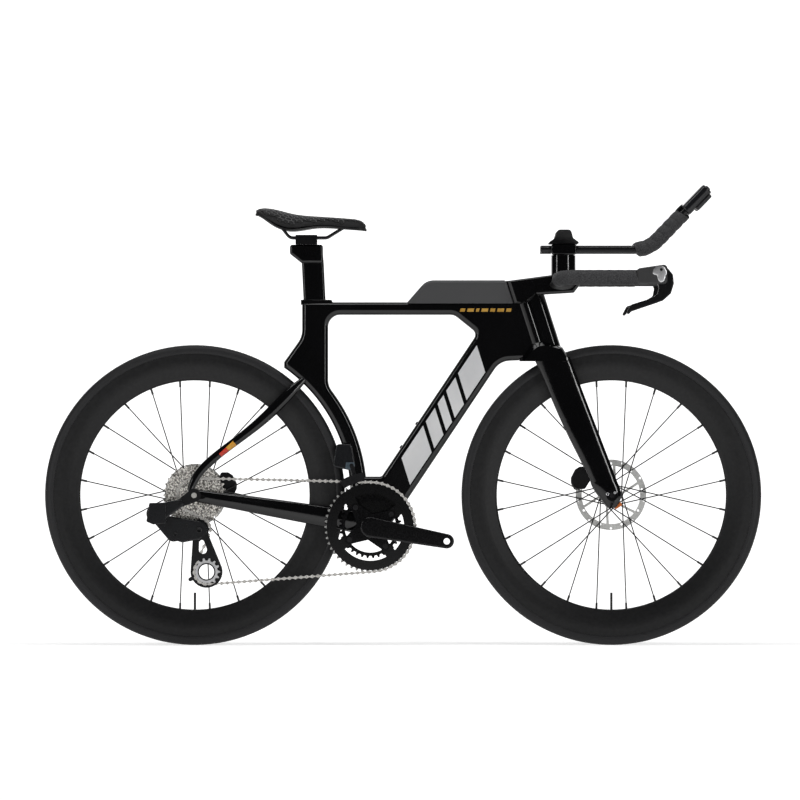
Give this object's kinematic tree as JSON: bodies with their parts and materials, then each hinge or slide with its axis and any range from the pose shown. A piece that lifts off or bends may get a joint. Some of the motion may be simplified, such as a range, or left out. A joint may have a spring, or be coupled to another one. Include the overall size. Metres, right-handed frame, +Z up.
{
  "type": "time trial bike",
  "caption": "Aero time trial bicycle with deep rims, disc brakes, a chain drive with derailleurs, a base bar with brake levers and raised arm rest extensions.",
  "frame": {"origin": "on the ground, midway between the wheel axles, in the middle plane", "axes": "+X forward, +Y to the rider's left, +Z up; the drive side is at -Y"},
  "size_m": [1.6189, 0.4128, 1.0385],
  "materials": {
    "frame_paint": "gloss black lacquer over carbon fibre",
    "box_plastic": "matte dark grey moulding",
    "black_aluminium": "black anodised",
    "steel": "bright steel",
    "crank_aluminium": "black anodised, satin",
    "mech_plastic": "black glass filled plastic",
    "cage_aluminium": "black anodised",
    "carbon_rim": "matte carbon fibre",
    "spoke_steel": "dark steel",
    "tyre_rubber": "matte rubber",
    "tape": "matte wrapped grip tape",
    "hood_rubber": "matte rubber",
    "cup_plastic": "satin carbon fibre plastic",
    "pad_foam": "soft foam with a printed lattice"
  },
  "bodies": {
    "frame": {"frame_main": "frame_paint", "seat_stays": "frame_paint", "chain_stays": "frame_paint", "derailleur_hanger": "black_aluminium", "rear_thru_axle": "steel", "frame_bearings": "black_aluminium", "top_tube_box": "box_plastic", "seat_clamp": "frame_paint", "front_derailleur_body": "mech_plastic", "rear_derailleur_bracket": "mech_plastic", "rear_derailleur_body": "mech_plastic", "rear_brake_caliper": "black_aluminium", "chain_upper_run": "steel", "chain_wraps": "steel", "chain_lower_run": "steel"},
    "seat": {"seatpost": "frame_paint", "saddle_clamp": "black_aluminium", "saddle_shell": "cup_plastic", "saddle_pad": "pad_foam", "saddle_rails": "steel"},
    "crank": {"right_crank": "crank_aluminium", "left_crank_arm": "crank_aluminium", "large_chainring": "crank_aluminium", "small_chainring": "crank_aluminium", "chainring_bolts": "steel"},
    "cassette": {"cassette_sprockets": "steel", "freehub_body": "black_aluminium"},
    "rear_wheel": {"rear_tyre": "tyre_rubber", "rear_rim": "carbon_rim", "rear_spokes": "spoke_steel", "rear_hub": "black_aluminium", "rear_valve": "steel", "rear_rotor": "steel"},
    "front_wheel": {"front_tyre": "tyre_rubber", "front_rim": "carbon_rim", "front_spokes": "spoke_steel", "front_hub": "black_aluminium", "front_valve": "steel", "front_rotor": "steel"},
    "steering": {"fork": "frame_paint", "front_thru_axle": "steel", "front_brake_caliper": "black_aluminium", "stem": "frame_paint", "base_bar": "frame_paint", "bar_tape": "tape", "brake_hoods": "hood_rubber", "extension_riser": "frame_paint", "extensions": "black_aluminium", "arm_cups": "cup_plastic", "arm_pads": "pad_foam", "shifters": "mech_plastic"},
    "left_lever": {"left_brake_lever": "cage_aluminium"},
    "right_lever": {"right_brake_lever": "cage_aluminium"},
    "left_button": {"left_shift_button": "mech_plastic"},
    "right_button": {"right_shift_button": "mech_plastic"},
    "cage": {"derailleur_cage": "cage_aluminium", "chain_cage_run": "steel"},
    "guide": {"guide_pulley": "mech_plastic"},
    "tension": {"tension_pulley": "mech_plastic"},
    "front_cage": {"front_derailleur_cage": "cage_aluminium"}
  },
  "joints": [
    {"name": "steering_turn", "type": "hinge", "parent": "frame", "child": "steering", "pos_m": [0.41813, 0, 0.32219], "axis": [-0.3057, 0, 0.9521], "range_deg": [-45, 45]},
    {"name": "front_wheel_spin", "type": "hinge", "parent": "steering", "child": "front_wheel", "pos_m": [0.4705, 0, 0.339], "axis": [0, 1, 0], "continuous": true},
    {"name": "rear_wheel_spin", "type": "hinge", "parent": "frame", "child": "rear_wheel", "pos_m": [-0.4705, 0, 0.339], "axis": [0, 1, 0], "continuous": true},
    {"name": "crank_spin", "type": "hinge", "parent": "frame", "child": "crank", "pos_m": [-0.0739, 0, 0.2674], "axis": [0, 1, 0], "continuous": true},
    {"name": "cassette_spin", "type": "hinge", "parent": "frame", "child": "cassette", "pos_m": [-0.4705, 0, 0.339], "axis": [0, 1, 0], "continuous": true},
    {"name": "cage_swing", "type": "hinge", "parent": "frame", "child": "cage", "pos_m": [-0.459, -0.0455, 0.262], "axis": [0, -1, 0], "range_deg": [0, 9], "stiffness_Nm_per_rad": 0.6, "springref_deg": -20.05, "deforming": ["chain_lower_run"]},
    {"name": "guide_spin", "type": "hinge", "parent": "cage", "child": "guide", "pos_m": [-0.459, -0.0455, 0.262], "axis": [0, 1, 0], "continuous": true},
    {"name": "tension_spin", "type": "hinge", "parent": "cage", "child": "tension", "pos_m": [-0.4433, -0.0455, 0.1663], "axis": [0, 1, 0], "continuous": true},
    {"name": "front_shift", "type": "slide", "parent": "frame", "child": "front_cage", "axis": [0, -1, 0], "range_m": [0, 0.0012]},
    {"name": "seat_height", "type": "slide", "parent": "frame", "child": "seat", "axis": [-0.0471, 0, 0.9989], "range_m": [-0.003, 0.05]},
    {"name": "right_lever_pull", "type": "hinge", "parent": "steering", "child": "right_lever", "pos_m": [0.57554, -0.19, 0.85004], "axis": [0, 1, 0], "range_deg": [0, 18], "stiffness_Nm_per_rad": 1.2, "springref_deg": -20.05},
    {"name": "left_lever_pull", "type": "hinge", "parent": "steering", "child": "left_lever", "pos_m": [0.57554, 0.19, 0.85004], "axis": [0, 1, 0], "range_deg": [0, 18], "stiffness_Nm_per_rad": 1.2, "springref_deg": -20.05},
    {"name": "right_button_press", "type": "slide", "parent": "steering", "child": "right_button", "axis": [-0.6947, 0, -0.7193], "range_m": [0, 0.0015], "stiffness_N_per_m": 400, "springref_m": -0.002},
    {"name": "left_button_press", "type": "slide", "parent": "steering", "child": "left_button", "axis": [-0.6947, 0, -0.7193], "range_m": [0, 0.0015], "stiffness_N_per_m": 400, "springref_m": -0.002}
  ],
  "couplings": [
    {"joint": "cassette_spin", "follows": "crank_spin", "ratio": 2.6316},
    {"joint": "guide_spin", "follows": "crank_spin", "ratio": -4.1667},
    {"joint": "tension_spin", "follows": "crank_spin", "ratio": 3.5714}
  ]
}
